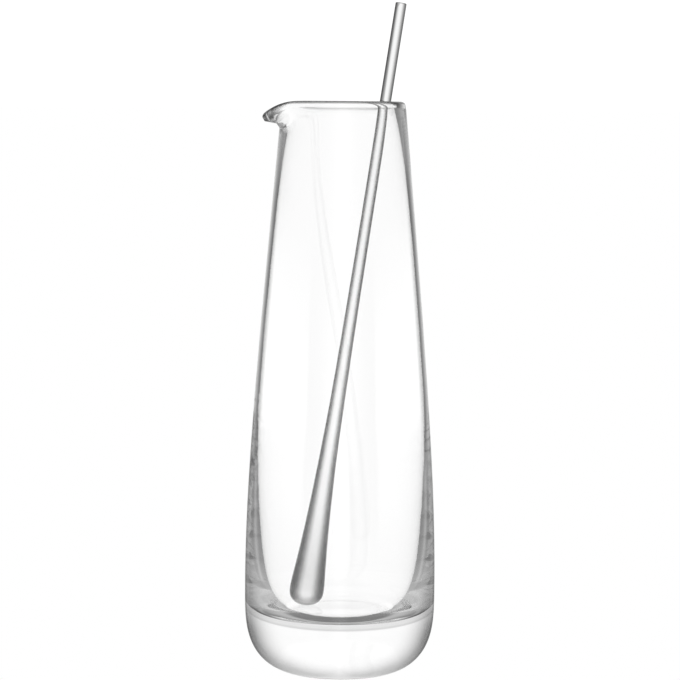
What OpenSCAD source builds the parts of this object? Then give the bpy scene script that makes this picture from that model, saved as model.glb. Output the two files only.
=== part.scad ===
// Tall hand-made glass pitcher with a pulled spout, and the glass stirrer that leans in it.
// Millimetres. Origin at the centre of the foot, +Z up, the spout points along -X.

/* [Pitcher outside] */
// Height of the rim above the table
rim_height = 300; // [290:1:315]
// Radius of the belly, where the wall is widest
belly_r = 50.2; // [49:0.1:53]
// Height of the belly, where the rounded bottom corner ends
belly_height = 44.8; // [40:0.1:50]
// Radius of the flat foot
foot_r = 27.3; // [24:0.1:30]
// Radius that the wall draws in to at the rim
neck_r = 32.2; // [31:0.1:34]

/* [Pitcher inside] */
// Thickness of the solid glass under the hollow
base_t = 29.6; // [26:0.1:32]
// Thickness of the wall at the belly, where it swells into the solid base
heel_t = 4.8; // [4.2:0.1:6.5]
// Height scale over which the bowl rounds out from its floor
bowl_rise = 47; // [42:0.5:52]
// Thickness of the wall halfway up
wall_t = 2.2; // [1.8:0.05:2.6]
// Radius of the rounded rim
lip_r = 2.9; // [2.6:0.1:3.2]
// Height scale over which the thick rim fades into the wall
lip_fade = 24.5; // [20:0.5:28]

/* [Spout] */
// How far the rim is drawn out at the spout
spout_pull = 10; // [6:0.5:12]
// How far the drawn rim hangs below the rest of the rim
spout_drop = 5.8; // [3:0.1:7]
// Height of the rim that is drawn out
spout_height = 16; // [14:0.5:18]
// Angle round the rim, either side, over which the spout fades
spout_spread = 25; // [18:1:32]

/* [Stirrer] */
// Length from the tip of the bulb to the cut end
stirrer_length = 325.5; // [310:0.5:340]
// Diameter of the rod
rod_d = 5.8; // [5:0.1:7]
// Diameter of the bulb
bulb_d = 18.2; // [15:0.1:20]
// Distance from the tip of the bulb to its widest place
bulb_rise = 10; // [8:0.5:12]
// Length scale over which the bulb fades into the rod
bulb_fade = 53; // [40:1:60]
// Softened edge of the cut end
end_edge = 0.4; // [0.2:0.1:0.8]

/* [Rest] */
// Distance of the tip of the bulb from the pitcher's axis
bulb_reach = 20.7; // [16:0.1:24]
// Compass turn, from +X, of the upright plane in which the stirrer leans
lean_turn = 22.5; // [0:0.1:60]
// Gap between the stirrer and the glass that it rests on
rest_gap = 0.5; // [0.4:0.05:0.8]

/* [Hidden] */

// How soon the wall's draw-in turns straight, as a share of the wall's height
draw_share = 0.342;
// Fullness of the bottom corner, sideways and upright (2 would be an ellipse)
corner_wide = 1.7;
corner_tall = 3.5;
// Radius and fullness of the bowl at the bottom of the hollow, and width of its blend into the wall
bowl_r = belly_r - heel_t;
bowl_full = 8.4;
bowl_blend = wall_t / 3;
// How far the round of the rim carries on down the inside, in degrees
lip_turn = 13;
// Where the spout starts to bend out, where it starts to hang and where it hangs fully,
// as shares of its height below the rim
spout_start = 0.9;
spout_bend = 0.836;
spout_full = 0.23;
// How much narrower than its pull the spout's hang is, as a power of the fade to the sides
hang_share = 1.8;
// Fullness of the bulb's end and softness of its shoulder
bulb_full = 2.25;
shoulder_share = 0.12;

// The rim is a ring of its own shape, tucked into the top of the turned wall
seam_z = rim_height - 1.25 * spout_height;
tuck = wall_t / 4;
seam_clear = wall_t / 33;

// Round of the rim: height and radius of its centre, and where it runs into the inside
lip_z = rim_height - lip_r;
lip_c = wall_r(lip_z) - lip_r;
lip_in_z = lip_z - lip_r * sin(lip_turn);
lip_in_t = wall_r(lip_in_z) - lip_c + lip_r * cos(lip_turn);

// Numbers of steps along each curve and round the rim
wall_steps = 24;
corner_steps = 18;
bowl_steps = 26;
rim_steps = 12;
round_steps = 12;
ring_steps = 96;
bulb_steps = 14;
taper_steps = 24;

// Outer radius at a height: upright at the belly, then an even draw-in to the rim
function soft(u, c) = sqrt(u * u + c * c) - c;
function wall_r(z) = let (u = max(z - belly_height, 0) / (rim_height - belly_height))
    belly_r - (belly_r - neck_r) * soft(u, draw_share) / soft(1, draw_share);

// Radius of the hollow: the wall less its thickness, or the bowl, whichever is less, blended
function glass_t(z) = wall_t + (lip_in_t - wall_t) * exp((z - lip_in_z) / lip_fade);
function bowl_at(z) = bowl_r * pow(1 - exp((base_t - z) / bowl_rise), 1 / bowl_full);
function blend_min(a, b) = min(a, b) - bowl_blend * ln(1 + exp(-abs(a - b) / bowl_blend));
function hollow_r(z) = blend_min(wall_r(z) - glass_t(z), bowl_at(z));
function bowl_z(r) = base_t - bowl_rise * ln(1 - pow(r / bowl_r, bowl_full));

// Bottom corner, from the flat foot round to the belly
function corner_at(t) = [foot_r + (belly_r - foot_r) * pow(cos(t), 2 / corner_wide),
                         belly_height * (1 - pow(sin(t), 2 / corner_tall))];

// Heights down the hollow: even steps down the wall, then closer ones round the bowl
bowl_turn = 80;
bowl_top_z = bowl_z(bowl_r * sin(bowl_turn));
hollow_zs = concat(
    [for (i = [0:wall_steps - 1]) seam_z + (bowl_top_z - seam_z) * i / wall_steps],
    [for (i = [bowl_steps:-1:1]) bowl_z(bowl_r * sin(bowl_turn * i / bowl_steps))]);

body_section = concat(
    [[0, 0]],
    [for (i = [corner_steps:-1:1]) corner_at(90 * i / corner_steps)],
    [for (i = [0:wall_steps]) let (z = belly_height + (seam_z - belly_height) * i / wall_steps)
        [wall_r(z), z]],
    [for (z = hollow_zs) [hollow_r(z), z]],
    [[0, base_t]]);

// Spout: the rim drawn out and down round -X, fading to nothing below it and to the sides.
// The glass bends outwards first and hangs last, so that the spout is flat underneath.
function ease(t) = let (s = min(max(t, 0), 1)) s * s * (3 - 2 * s);
function drawn(p, turn) = let (side = exp(-pow(turn / spout_spread, 2)),
                               below = (rim_height - p.y) / spout_height,
                               out = ease((spout_start - below) / (spout_start - lip_r / spout_height)),
                               hang = ease((spout_bend - below) / (spout_bend - spout_full)))
    [p.x + spout_pull * out * side, p.y - spout_drop * hang * pow(side, hang_share)];

// Section of the rim's ring: up the outside, over the round and down the inside
rim_out_zs = [for (i = [0:rim_steps - 1]) seam_z + tuck + (lip_z - seam_z - tuck) * i / rim_steps];
rim_in_zs = [for (i = [1:rim_steps]) lip_in_z + (seam_z + tuck - lip_in_z) * i / rim_steps];
rim_section = concat(
    [[wall_r(seam_z - tuck) - seam_clear, seam_z - tuck]],
    [for (z = rim_out_zs) [wall_r(z), z]],
    [for (i = [0:round_steps]) let (a = (180 + lip_turn) * i / round_steps)
        [lip_c + lip_r * cos(a), lip_z + lip_r * sin(a)]],
    [for (z = rim_in_zs) [hollow_r(z), z]],
    [[hollow_r(seam_z - tuck) + seam_clear, seam_z - tuck]]);

module rim_ring() {
    m = len(rim_section);
    turns = [for (j = [0:ring_steps - 1]) 360 * j / ring_steps - 180];
    points = [for (turn = turns, p = rim_section) let (d = drawn(p, turn))
        [-d.x * cos(turn), -d.x * sin(turn), d.y]];
    faces = [for (j = [0:ring_steps - 1], i = [0:m - 1]) let (
        k = (j + 1) % ring_steps, n = (i + 1) % m,
        quad = [j * m + i, j * m + n, k * m + n, k * m + i])
        each [[quad[0], quad[1], quad[2]], [quad[0], quad[2], quad[3]]]];
    polyhedron(points, faces, convexity = 6);
}

// One piece of clear glass: solid base, turned wall, thick round rim and drawn spout
module pitcher() {
    color([0.86, 0.93, 0.92, 0.35]) union() {
        rotate_extrude($fn = ring_steps) polygon(body_section);
        rim_ring();
    }
}

// Stirrer along its own axis: rounded end, bulb, long taper, rod and cut end
rod_r = rod_d / 2;
bulb_r = bulb_d / 2;
taper_length = 4 * bulb_fade;
function stirrer_r(s) = rod_r + (bulb_r - rod_r) * exp(-soft((s - bulb_rise) / bulb_fade, shoulder_share));
bulb_end = [for (i = [bulb_steps:-1:1]) let (t = 90 * i / bulb_steps)
    [bulb_r * pow(cos(t), 2 / bulb_full), bulb_rise * (1 - pow(sin(t), 2 / bulb_full))]];
stirrer_section = concat(
    bulb_end,
    [for (i = [0:taper_steps]) let (s = bulb_rise + taper_length * pow(i / taper_steps, 1.5))
        [stirrer_r(s), s]],
    [[rod_r, stirrer_length - end_edge], [rod_r - end_edge, stirrer_length], [0, stirrer_length]]);

// Lean at which the rod just clears the round of the rim
floor_z = bowl_z(bulb_reach);
rim_run = norm([lip_c + bulb_reach, lip_z - floor_z]);
lean = atan2(lip_c + bulb_reach, lip_z - floor_z) - asin((lip_r + rod_r + rest_gap) / rim_run);
// Height of the tip at which the outer side of the bulb just clears the bowl
tip_z = rest_gap + max([for (p = bulb_end)
    bowl_z(bulb_reach + p.x * cos(lean) - p.y * sin(lean)) - p.x * sin(lean) - p.y * cos(lean)]);

// One piece of solid clear glass rod, thickened to a drop at its lower end
module stirrer() {
    color([0.84, 0.92, 0.92, 0.35])
        rotate([0, 0, lean_turn]) translate([-bulb_reach, 0, tip_z]) rotate([0, lean, 0])
            rotate_extrude($fn = ring_steps) polygon(stirrer_section);
}

pitcher();
stirrer();
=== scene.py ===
import math

import bpy
from mathutils import Matrix, Vector


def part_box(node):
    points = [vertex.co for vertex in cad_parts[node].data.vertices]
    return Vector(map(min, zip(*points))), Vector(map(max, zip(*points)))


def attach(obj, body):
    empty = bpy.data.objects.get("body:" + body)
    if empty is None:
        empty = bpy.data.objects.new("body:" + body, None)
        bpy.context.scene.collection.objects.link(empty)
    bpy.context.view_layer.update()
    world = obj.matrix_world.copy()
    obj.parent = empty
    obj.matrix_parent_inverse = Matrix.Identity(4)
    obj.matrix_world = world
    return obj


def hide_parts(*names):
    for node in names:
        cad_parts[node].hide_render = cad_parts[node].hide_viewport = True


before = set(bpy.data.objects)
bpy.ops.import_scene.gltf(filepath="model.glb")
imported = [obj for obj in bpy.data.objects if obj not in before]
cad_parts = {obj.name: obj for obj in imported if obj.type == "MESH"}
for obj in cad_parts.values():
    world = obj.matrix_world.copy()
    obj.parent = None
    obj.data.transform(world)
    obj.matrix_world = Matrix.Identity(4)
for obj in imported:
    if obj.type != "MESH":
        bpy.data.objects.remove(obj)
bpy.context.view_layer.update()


# The pitcher is one piece of clear glass, worked hot from a single gather: a thick solid base,
# a wall drawn thin and inwards, a rim left thick and rounded in the flame, and a spout pulled
# out of it. Its section is turned about the upright axis, then the spout is drawn.
MM = 0.001
rim_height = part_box("pitcher")[1][2]
belly_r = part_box("pitcher")[1][1]
belly_height = 44.8 * MM
foot_r = 27.3 * MM
neck_r = 32.2 * MM
draw_share = 0.342
corner_wide = 1.7
corner_tall = 3.5

base_t = 29.6 * MM
heel_t = 4.8 * MM
bowl_r = belly_r - heel_t
bowl_rise = 47 * MM
bowl_full = 8.4
wall_t = 2.2 * MM
bowl_blend = wall_t / 3
lip_r = 2.9 * MM
lip_fade = 24.5 * MM
lip_turn = math.radians(13)

spout_pull = 10 * MM
spout_drop = 5.8 * MM
spout_height = 16 * MM
spout_spread = math.radians(25)
spout_start = 0.9
spout_bend = 0.836
spout_full = 0.23
hang_share = 1.8


def soft(u, c):
    return math.hypot(u, c) - c


def wall_at(z):
    u = max(z - belly_height, 0) / (rim_height - belly_height)
    return belly_r - (belly_r - neck_r) * soft(u, draw_share) / soft(1, draw_share)


lip_z = rim_height - lip_r
lip_c = wall_at(lip_z) - lip_r
lip_in_z = lip_z - lip_r * math.sin(lip_turn)
lip_in_t = wall_at(lip_in_z) - lip_c + lip_r * math.cos(lip_turn)


# Radius of the hollow: the wall less its thickness, or the bowl, whichever is less, blended.
def hollow_at(z):
    glass = wall_t + (lip_in_t - wall_t) * math.exp((z - lip_in_z) / lip_fade)
    wall = wall_at(z) - glass
    bowl = bowl_r * max(1 - math.exp((base_t - z) / bowl_rise), 0) ** (1 / bowl_full)
    return min(wall, bowl) - bowl_blend * math.log(1 + math.exp(-abs(wall - bowl) / bowl_blend))


def bowl_z(r):
    return base_t - bowl_rise * math.log(1 - (r / bowl_r) ** bowl_full)


def steps(start, end, count):
    return [start + (end - start) * i / count for i in range(count)]


# From the middle of the foot, round the corner, up the outside, over the rim and down the inside.
def pitcher_section():
    foot = [(r, 0.0) for r in steps(0, foot_r, 10)]
    corner = [(foot_r + (belly_r - foot_r) * math.cos(t) ** (2 / corner_wide),
               belly_height * (1 - math.sin(t) ** (2 / corner_tall)))
              for t in steps(math.pi / 2, 0, 56)]
    outside = [(wall_at(z), z) for z in steps(belly_height, lip_z, 90)]
    lip = [(lip_c + lip_r * math.cos(t), lip_z + lip_r * math.sin(t))
           for t in steps(0, math.pi + lip_turn, 36)]
    bowl_turn = math.radians(80)
    bowl = [bowl_z(bowl_r * math.sin(t)) for t in steps(bowl_turn, 0, 70)]
    inside = [(hollow_at(z), z) for z in steps(lip_in_z, bowl[0], 80) + bowl]
    return foot + corner + outside + lip + inside + [(0.0, base_t)]


class Wire:
    """One socket of a node tree: arithmetic on it adds Math nodes, node() adds any other node."""

    def __init__(self, tree, socket=None):
        self.tree = tree
        self.socket = socket

    def node(self, kind, settings=None, sockets=None):
        made = self.tree.nodes.new(kind)
        for name, value in (settings or {}).items():
            setattr(made, name, value)
        for name, value in (sockets or {}).items():
            self.feed(made.inputs[name], value)
        outputs = {}
        for out in made.outputs:
            outputs.setdefault(out.name, Wire(self.tree, out))
        return outputs

    def feed(self, entry, value):
        if isinstance(value, Wire):
            self.tree.links.new(value.socket, entry)
        else:
            entry.default_value = value

    def math(self, operation, *values):
        return self.node("ShaderNodeMath", {"operation": operation}, dict(enumerate(values)))["Value"]

    def __add__(self, other):
        return self.math("ADD", self, other)

    def __sub__(self, other):
        return self.math("SUBTRACT", self, other)

    def __rsub__(self, other):
        return self.math("SUBTRACT", other, self)

    def __mul__(self, other):
        return self.math("MULTIPLY", self, other)

    def __truediv__(self, other):
        return self.math("DIVIDE", self, other)

    def __rtruediv__(self, other):
        return self.math("DIVIDE", other, self)

    def __pow__(self, other):
        return self.math("POWER", self, other)

    __radd__ = __add__
    __rmul__ = __mul__

    def fade(self, low, high, start=0.0, end=1.0):
        return self.node("ShaderNodeMapRange", {"interpolation_type": "SMOOTHSTEP"}, {
            "Value": self, "From Min": low, "From Max": high, "To Min": start, "To Max": end})["Result"]

    def bump(self, centre, width):
        return self.math("EXPONENT", 0 - ((self - centre) / width) ** 2)


# Turns a section about Z: a grid with one column for each turn takes the section's points,
# and round -X they are drawn out and down to the spout.
def turning_tree():
    tree = bpy.data.node_groups.new("turned_glass", "GeometryNodeTree")
    sockets = {"Section": "Geometry", "Turns": "Int", "Rim height": "Float", "Spout pull": "Float",
               "Spout drop": "Float", "Spout height": "Float", "Spout spread": "Float",
               "Glass": "Material"}
    for name, kind in sockets.items():
        tree.interface.new_socket(name, in_out="INPUT", socket_type="NodeSocket" + kind)
    tree.interface.new_socket("Piece", in_out="OUTPUT", socket_type="NodeSocketGeometry")
    w = Wire(tree)
    given = w.node("NodeGroupInput")
    size = w.node("GeometryNodeAttributeDomainSize", {"component": "MESH"}, {"Geometry": given["Section"]})
    count = size["Point Count"]
    grid = w.node("GeometryNodeMeshGrid", None, {
        "Vertices X": given["Turns"] + 1, "Vertices Y": count})["Mesh"]
    index = w.node("GeometryNodeInputIndex")["Index"]
    rounding = 0.5 / 4096
    column = w.math("FLOOR", index / count + rounding)
    row = index - column * count
    place = w.node("GeometryNodeInputPosition")["Position"]
    value_socket = 1
    point = w.node("GeometryNodeSampleIndex", {"data_type": "FLOAT_VECTOR", "domain": "POINT"}, {
        "Geometry": given["Section"], value_socket: place, "Index": row})
    section = w.node("ShaderNodeSeparateXYZ", None, {"Vector": list(point.values())[0]})
    turn = column / given["Turns"] * (2 * math.pi) - math.pi
    side = w.math("EXPONENT", 0 - (turn / given["Spout spread"]) ** 2)
    below = (given["Rim height"] - section["Z"]) / given["Spout height"]
    out = (spout_start - below).fade(0, spout_start - lip_r / spout_height)
    hang = (spout_bend - below).fade(0, spout_bend - spout_full)
    r = section["X"] + given["Spout pull"] * out * side
    z = section["Z"] - given["Spout drop"] * hang * side ** hang_share
    turned = w.node("ShaderNodeCombineXYZ", None, {
        "X": 0 - r * w.math("COSINE", turn), "Y": 0 - r * w.math("SINE", turn), "Z": z})["Vector"]
    shaped = w.node("GeometryNodeSetPosition", None, {"Geometry": grid, "Position": turned})["Geometry"]
    closed = w.node("GeometryNodeMergeByDistance", None, {
        "Geometry": shaped, "Distance": 0.0001 * MM})["Geometry"]
    smooth = w.node("GeometryNodeSetShadeSmooth", None, {"Geometry": closed})["Geometry"]
    real = w.node("GeometryNodeRealizeInstances", None, {"Geometry": smooth})["Geometry"]
    made = w.node("GeometryNodeSetMaterial", None, {
        "Geometry": real, "Material": given["Glass"]})["Geometry"]
    w.node("NodeGroupOutput", None, {"Piece": made})
    return tree


def turn_piece(name, section, tree, sizes):
    flat = bpy.data.meshes.new(name + "_section")
    edges = [(i, i + 1) for i in range(len(section) - 1)]
    flat.from_pydata([(r, 0, z) for r, z in section], edges, [])
    blank = bpy.data.objects.new(name + "_section", flat)
    bpy.context.scene.collection.objects.link(blank)
    modifier = blank.modifiers.new("turning", "NODES")
    modifier.node_group = tree
    for item in tree.interface.items_tree:
        if item.in_out == "INPUT" and item.name in sizes:
            modifier[item.identifier] = sizes[item.name]
    bpy.context.view_layer.update()
    ready = blank.evaluated_get(bpy.context.evaluated_depsgraph_get())
    mesh = bpy.data.meshes.new_from_object(ready)
    mesh.name = name
    bpy.data.objects.remove(blank)
    piece = bpy.data.objects.new(name, mesh)
    bpy.context.scene.collection.objects.link(piece)
    return piece


def mottle(w, x, y, z, size, seed):
    point = w.node("ShaderNodeCombineXYZ", None, {
        "X": x / size, "Y": y / size, "Z": z / size + seed})["Vector"]
    noise = w.node("ShaderNodeTexNoise", {"noise_dimensions": "3D"}, {
        "Vector": point, "Scale": 1.0, "Detail": 2.0, "Roughness": 0.5})
    return list(noise.values())[0]


# Clear glass. A ray is tinted by the root of the base colour each time it crosses the surface,
# so the painted shade is squared. The finish gives the roughness, and a height for the bump.
def clear_glass(name, shade, finish, wave):
    made = bpy.data.materials.new(name)
    made.use_nodes = True
    made.node_tree.nodes.clear()
    w = Wire(made.node_tree)
    place = w.node("ShaderNodeSeparateXYZ", None, {"Vector": w.node("ShaderNodeTexCoord")["Object"]})
    x, y, z = place["X"], place["Y"], place["Z"]
    facing = w.node("ShaderNodeLayerWeight", None, {"Blend": 0.5})["Facing"]
    dim = shade(w, x, y, z, facing) ** 2
    colour = w.node("ShaderNodeCombineColor", None, {"Red": dim, "Green": dim, "Blue": dim})["Color"]
    dull, swell = finish(w, x, y, z)
    normal = w.node("ShaderNodeBump", None, {
        "Strength": 1.0, "Distance": wave, "Height": swell})["Normal"]
    glass = w.node("ShaderNodeBsdfPrincipled", None, {
        "Base Color": colour, "Roughness": dull, "IOR": 1.5, "Transmission Weight": 1.0,
        "Normal": normal})["BSDF"]
    w.node("ShaderNodeOutputMaterial", None, {"Surface": glass})
    return made


# Painted shade of thick glass: how fast its painted dark edge comes in as the surface turns away,
# where the solid base ends in the wall, how dark the base's painted edge gets, how much of that a
# flat face loses, and how dark the spout is painted.
EDGE_POWER = 1.65
RIM_EDGE = 0.36
solid_low = 22 * MM
solid_high = 50 * MM
solid_painted_shade = 0.84
flat_loss = 0.92
skin = 1 * MM
spout_root = 30 * MM
spout_painted_shade = 0.12


# Painted shade: the solid base and the round of the rim are painted darker towards their edges,
# the rim's painted shade strongest at the front (-Y) and weaker at the back and the +X side.
def pitcher_shade(w, x, y, z, facing):
    around = (x ** 2 + y ** 2) ** 0.5
    under_bowl = 1 - z.fade(base_t - 2 * skin, base_t - skin)
    outside = w.math("MAXIMUM", under_bowl, around.fade(bowl_r, bowl_r + 2 * skin))
    solid = outside * (1 - z.fade(solid_low, solid_high))
    facet = w.node("ShaderNodeNewGeometry")["Normal"]
    upright = w.node("ShaderNodeSeparateXYZ", None, {"Vector": facet})["Z"]
    # Painted shade: the solid base is painted darker as its surface turns away, less on flat faces.
    edge = facing.fade(0.25, 0.85) * (1 - flat_loss * upright ** 4) * solid_painted_shade
    side = w.math("ARCTAN2", y, 0 - x).bump(0, spout_spread)
    fall = (spout_drop + 0.8 * lip_r) * side ** hang_share
    # Painted shade along the round top of the rim, lowered with the spout.
    rim_shade_mask = (z + fall).fade(lip_z + 0.35 * lip_r, lip_z + 0.85 * lip_r)
    spout_foot = rim_height - spout_height
    # Painted shade: the spout is painted a little darker.
    spout = (0 - x).fade(spout_root, spout_root + 5 * skin) * z.fade(spout_foot, spout_foot + 4 * skin)
    # The rim's painted shade is strongest at the front (-Y) and weaker at the back and the +X side.
    rim_shade_front_weight = y.fade(0 - neck_r, neck_r, 1.0, 0.1) * x.fade(0.6 * neck_r, 0.95 * neck_r, 1.0, 0.25)
    lip = w.math("MAXIMUM", rim_shade_mask * rim_shade_front_weight, spout * spout_painted_shade)
    return (1 - edge * solid) / (1 + lip * (facing * (2 - facing) / RIM_EDGE) ** EDGE_POWER)


# Finish of the pitcher: a worn ring on the foot, faint smears where hands hold it, and the waves
# that drawing, blowing and pressing left in the wall. Grain sizes, places and strengths.
scuff_in = foot_r - 4 * MM
scuff_out = foot_r - 1 * MM
scuff_low = 0.2 * MM
scuff_high = 0.6 * MM
scuff_grain = 1.2 * MM
hand_low = 60 * MM
hand_high = 90 * MM
hand_grain = 24 * MM
smear_grain = 3 * MM
smear_dull = 0.015
drawn_grain = 11 * MM
blown_grain = 32 * MM
ripple_grain = 6 * MM
ripple_z = 125 * MM
ripple_spread = 36 * MM
ripple_r = 42 * MM
wall_wave = 0.05 * MM


def pitcher_finish(w, x, y, z):
    around = (x ** 2 + y ** 2) ** 0.5
    scuffs = around.fade(scuff_in, scuff_out) * (1 - z.fade(scuff_low, scuff_high))
    worn = scuffs * mottle(w, x, y, z, scuff_grain, seed=3.0).fade(0.35, 0.6, 0.05, 0.3)
    touched = mottle(w, x, y, z, hand_grain, seed=11.0).fade(0.58, 0.72) * z.fade(hand_low, hand_high)
    smears = touched * mottle(w, x, y, z * 0.3, smear_grain, seed=7.0).fade(0.5, 0.65) * smear_dull
    drawn = mottle(w, x, y, z * 0.2, drawn_grain, seed=0.0)
    blown = mottle(w, x, y, z * 0.8, blown_grain, seed=5.0)
    spout_side = (0 - x / around).fade(0.8, 0.95) * around.fade(ripple_r, ripple_r + 2 * MM)
    pressed = spout_side * z.bump(ripple_z, ripple_spread)
    ripples = mottle(w, x * 0.35, y * 0.35, z, ripple_grain, seed=9.0) * pressed
    return worn + smears, drawn * 0.4 + blown * 1.6 + ripples * 2.4


turning = turning_tree()
pitcher_glass = clear_glass("pitcher_glass", pitcher_shade, pitcher_finish, wall_wave)
pitcher = turn_piece("pitcher_body", pitcher_section(), turning, {
    "Turns": 256, "Rim height": rim_height, "Spout pull": spout_pull, "Spout drop": spout_drop,
    "Spout height": spout_height, "Spout spread": spout_spread, "Glass": pitcher_glass})
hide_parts("pitcher")
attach(pitcher, "pitcher")


# The stirrer is a solid rod of clear glass, its lower end gathered to a long drop in the flame
# and its upper end cut square with the edge just softened. It stands loose, leaning on the rim.
stirrer_length = 325.5 * MM
rod_r = 5.8 * MM / 2
bulb_r = 18.2 * MM / 2
bulb_rise = 10 * MM
bulb_fade = 53 * MM
bulb_full = 2.25
shoulder_share = 0.12
end_edge = 0.4 * MM
bulb_reach = 20.7 * MM
lean_turn = math.radians(22.5)
rest_gap = 0.5 * MM


def bulb_section():
    end = [(bulb_r * math.cos(t) ** (2 / bulb_full), bulb_rise * (1 - math.sin(t) ** (2 / bulb_full)))
           for t in steps(math.pi / 2, 0, 40)]
    return [(0.0, 0.0)] + end[1:]


def rod_at(s):
    return rod_r + (bulb_r - rod_r) * math.exp(-soft((s - bulb_rise) / bulb_fade, shoulder_share))


def stirrer_section():
    rod = [(rod_at(s), s) for s in steps(bulb_rise, stirrer_length - end_edge, 140)]
    edge = [(rod_r - end_edge * (1 - math.cos(t)), stirrer_length - end_edge * (1 - math.sin(t)))
            for t in steps(0, math.pi / 2, 8)]
    cut = [(r, stirrer_length) for r in steps(rod_r - end_edge, 0, 6)]
    return bulb_section() + rod + edge + cut + [(0.0, stirrer_length)]


floor_z = bowl_z(bulb_reach)
rim_out = lip_c + bulb_reach
rim_up = lip_z - floor_z
rod_clear = lip_r + rod_r + rest_gap
lean = math.atan2(rim_out, rim_up) - math.asin(rod_clear / math.hypot(rim_out, rim_up))
tip_z = rest_gap + max(bowl_z(bulb_reach + r * math.cos(lean) - s * math.sin(lean))
                       - r * math.sin(lean) - s * math.cos(lean) for r, s in bulb_section())
stand_up = (Matrix.Rotation(lean_turn, 4, "Z") @ Matrix.Translation((-bulb_reach, 0, tip_z))
            @ Matrix.Rotation(lean, 4, "Y"))
axis = stand_up.to_3x3() @ Vector((0, 0, 1))
stirrer_top = (stand_up @ Vector((0, 0, stirrer_length))).dot(axis)


# Painted shade: the rod's edges are painted darker across its section, whatever its slope, more at
# the drop's waist and not under its round end. The drop is a little darker than the rod, fading out
# towards its tip.
ROD_EDGE = 0.34
waist_z = tip_z + 16 * MM
waist_spread = 14 * MM
drop_low = tip_z + 4 * MM
drop_wide = tip_z + 10 * MM
drop_high = tip_z + 70 * MM
drop_dark = 0.11
rod_dark = 0.03


def stirrer_shade(w, x, y, z, facing):
    facet = w.node("ShaderNodeSeparateXYZ", None, {"Vector": w.node("ShaderNodeNewGeometry")["Normal"]})
    under = 0 - facet["X"] * axis.x - facet["Y"] * axis.y - facet["Z"] * axis.z
    # Painted shade on the rod's edges, weaker under the round end and stronger at the drop's waist.
    side = under.fade(0.0, 0.5, 1.0, 0.08) * (1 + 0.4 * z.bump(waist_z, waist_spread))
    # The drop's glass is tinted darker than the rod's, fading out at its tip.
    drop_darkening = z.fade(drop_low, drop_wide) * z.fade(drop_wide, drop_high, drop_dark, rod_dark)
    rod = w.node("ShaderNodeCombineXYZ", None, {"X": axis.x, "Y": axis.y, "Z": axis.z})["Vector"]
    sloped = 1 - w.node("ShaderNodeLayerWeight", None, {"Blend": 0.5, "Normal": rod})["Facing"]
    slant = w.math("MAXIMUM", 1 - (1 - facing) ** 2 / (1.001 - sloped ** 2), 0.0)
    return (1 - drop_darkening) / (1 + side * (slant / ROD_EDGE) ** EDGE_POWER)


# Fine lines along the drawn rod, a slightly dull cut end and faint smears.
line_grain = 1.6 * MM
line_stretch = 0.96
cut_depth = 0.3 * MM
cut_dull = 0.06
touch_grain = 9 * MM
touch_dull = 0.012
rod_wave = 0.01 * MM


def stirrer_finish(w, x, y, z):
    along = x * axis.x + y * axis.y + z * axis.z
    pulled = line_stretch * along
    lines = mottle(w, x - pulled * axis.x, y - pulled * axis.y, z - pulled * axis.z, line_grain, seed=0.0)
    cut = along.fade(stirrer_top - cut_depth, stirrer_top)
    smears = mottle(w, x, y, z, touch_grain, seed=4.0).fade(0.55, 0.7) * touch_dull
    return cut * cut_dull + smears, lines


stirrer_glass = clear_glass("stirrer_glass", stirrer_shade, stirrer_finish, rod_wave)
stirrer = turn_piece("stirrer_rod", stirrer_section(), turning, {
    "Turns": 96, "Rim height": 1.0, "Spout pull": 0.0, "Spout drop": 0.0,
    "Spout height": spout_height, "Spout spread": spout_spread, "Glass": stirrer_glass})
stirrer.data.transform(stand_up)
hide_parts("stirrer")
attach(stirrer, "stirrer")


# The set is a plain pale floor under a soft white tent of light. Rays that the glass has
# mirrored inside see the tent's grey cards instead, which draw the dark edges of clear glass.
FLOOR_HALF = 200.0
FLOOR_DROP = 0.5 * MM
corners = [(-FLOOR_HALF, -FLOOR_HALF, 0), (FLOOR_HALF, -FLOOR_HALF, 0),
           (FLOOR_HALF, FLOOR_HALF, 0), (-FLOOR_HALF, FLOOR_HALF, 0)]
table = bpy.data.meshes.new("table_top")
table.from_pydata(corners, [], [(0, 1, 2, 3)])
table_top = bpy.data.objects.new("table_top", table)
bpy.context.scene.collection.objects.link(table_top)
pale = bpy.data.materials.new("pale_floor")
pale.use_nodes = True
pale.node_tree.nodes.clear()
floor = Wire(pale.node_tree)
glow = floor.node("ShaderNodeEmission", None, {"Color": (1, 1, 1, 1), "Strength": 1.0})["Emission"]
floor.node("ShaderNodeOutputMaterial", None, {"Surface": glow})
table.materials.append(pale)
table_top.location.z = -FLOOR_DROP
table_top.visible_transmission = False
table_top.visible_glossy = False
table_top.visible_diffuse = False

tent = bpy.data.worlds.new("tent")
tent.use_nodes = True
tent.node_tree.nodes.clear()
bpy.context.scene.world = tent
w = Wire(tent.node_tree)
way = w.node("ShaderNodeSeparateXYZ", None, {"Vector": w.node("ShaderNodeTexCoord")["Generated"]})
DEGREE = 180 / math.pi
across = w.math("ARCTAN2", w.math("ABSOLUTE", way["X"]), w.math("ABSOLUTE", way["Y"])) * DEGREE
height = w.math("ARCSINE", way["Z"]) * DEGREE
ray = w.node("ShaderNodeLightPath")


def bounced(times):
    return w.math("GREATER_THAN", ray["Glossy Depth"], times - 0.5)


def crossed_less_than(times):
    return w.math("LESS_THAN", ray["Transmission Depth"], times - 0.5)


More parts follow.
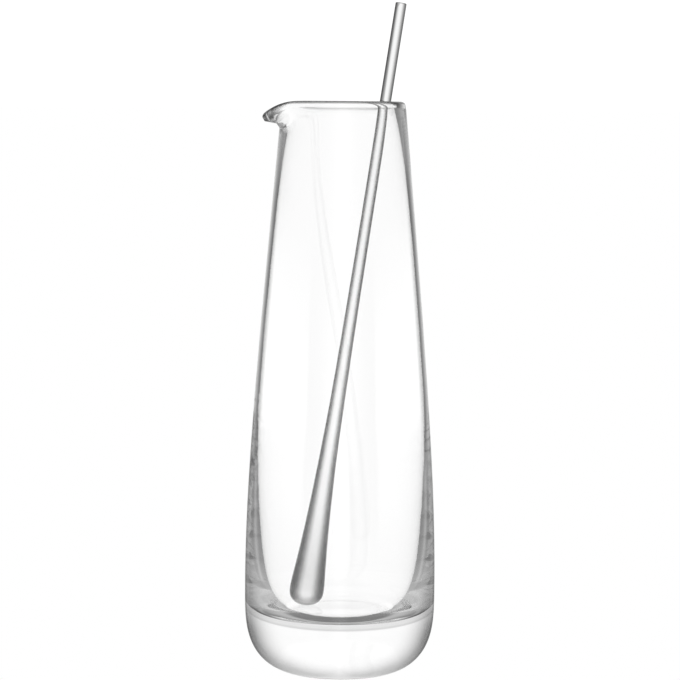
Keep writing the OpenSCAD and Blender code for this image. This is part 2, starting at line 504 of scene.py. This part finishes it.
# Directions are degrees across, from straight before or behind the glass, and degrees of height.
# At eye level the cards are dark, with a bright one before and behind, and one at each side.
EYE_LEVEL = (1, 9)
BRIGHT_CARD = 23
SIDE_CARDS = (43, 52)
SIDE_CARDS_Z = (-2, 7)
card = across.bump(0, BRIGHT_CARD) * height.fade(*EYE_LEVEL, 0.95, 0.42)
flat = height.fade(*EYE_LEVEL, 0.03, 0.18) + card
again = 0.36 * bounced(2) - bounced(5) * height.fade(-2, 7, 0.2, 0.0)
flat = w.math("MAXIMUM", flat * (1 - 0.6 * bounced(3)), again)
beside = across.fade(*SIDE_CARDS) * height.bump(*SIDE_CARDS_Z) * (1 - bounced(2))
flat = w.math("MAXIMUM", flat, beside)

# Below is a grey floor, darkest near the horizon and straight down, with a pale patch at the
# front for light that is mirrored off the outside.
FLOOR_GREY = (-45, -15)
FLOOR_DARK = (-55, -46)
bare = crossed_less_than(1)
glint = across.bump(31, 6) * height.fade(-40, -30) * 0.18
grey = (height.fade(*FLOOR_GREY, 0.46, 0.18) + glint) * height.fade(*FLOOR_DARK, 0.4, 1.0)
down = w.math("MAXIMUM", grey, 0.3 * bounced(3))
down = w.math("MAXIMUM", down, across.bump(0, 10) * bare * 0.95)

# Above is the tent's grey upper part, for light that is mirrored twice or more.
up = height.fade(8, 24, 0.36, 0.46) + across.bump(0, 28) * 0.08
falling = (height - 8 * bare).fade(-18, -11, 1.0, 0.0)
rising = height.fade(5, 12) * bounced(2)
studio = flat * (1 - falling - rising) + down * falling + up * rising

# All other light is the white tent, with the floor's faint edge seen through one wall of glass.
shallow = crossed_less_than(3)
through = shallow * (1 - ray["Is Camera Ray"])
white = 1 - (height.fade(-1.8, -1.1, 0.2, 0.0) + height.bump(-2.0, 0.45) * 0.1) * through
mirrored = bounced(1) * shallow
overhead = height.fade(40, 70, 1.0, 0.3)
STUDIO_GAIN = 1.08
gain = 1.04 + 0.04 * ray["Is Camera Ray"]
light = (white * (1 - mirrored) * gain + studio * mirrored * STUDIO_GAIN) * overhead
sky = w.node("ShaderNodeBackground", None, {"Color": (1, 1, 1, 1), "Strength": light})["Background"]
w.node("ShaderNodeOutputWorld", None, {"Surface": sky})

PICTURE = 680
EYE_HEIGHT = 0.298
EYE_DISTANCE = 1.340
AIM = Vector((-0.00096, 0, 0.17496))
PIXEL = 0.5254 * MM
ROLL = math.radians(0.49)
BOUNCES = 200
camera = bpy.data.cameras.new("camera")
eye = bpy.data.objects.new("camera", camera)
bpy.context.scene.collection.objects.link(eye)
bpy.context.scene.camera = eye
stand = Vector((AIM.x, -EYE_DISTANCE, EYE_HEIGHT))
sight = AIM - stand
eye.matrix_world = (Matrix.Translation(stand) @ sight.to_track_quat("-Z", "Y").to_matrix().to_4x4()
                    @ Matrix.Rotation(ROLL, 4, "Z"))
camera.sensor_width = 36
camera.lens = camera.sensor_width * sight.length / (PICTURE * PIXEL)
camera.clip_start = 0.01
bpy.context.scene.view_settings.view_transform = "Standard"
bpy.context.scene.cycles.max_bounces = BOUNCES
bpy.context.scene.cycles.transmission_bounces = BOUNCES
bpy.context.scene.cycles.glossy_bounces = BOUNCES
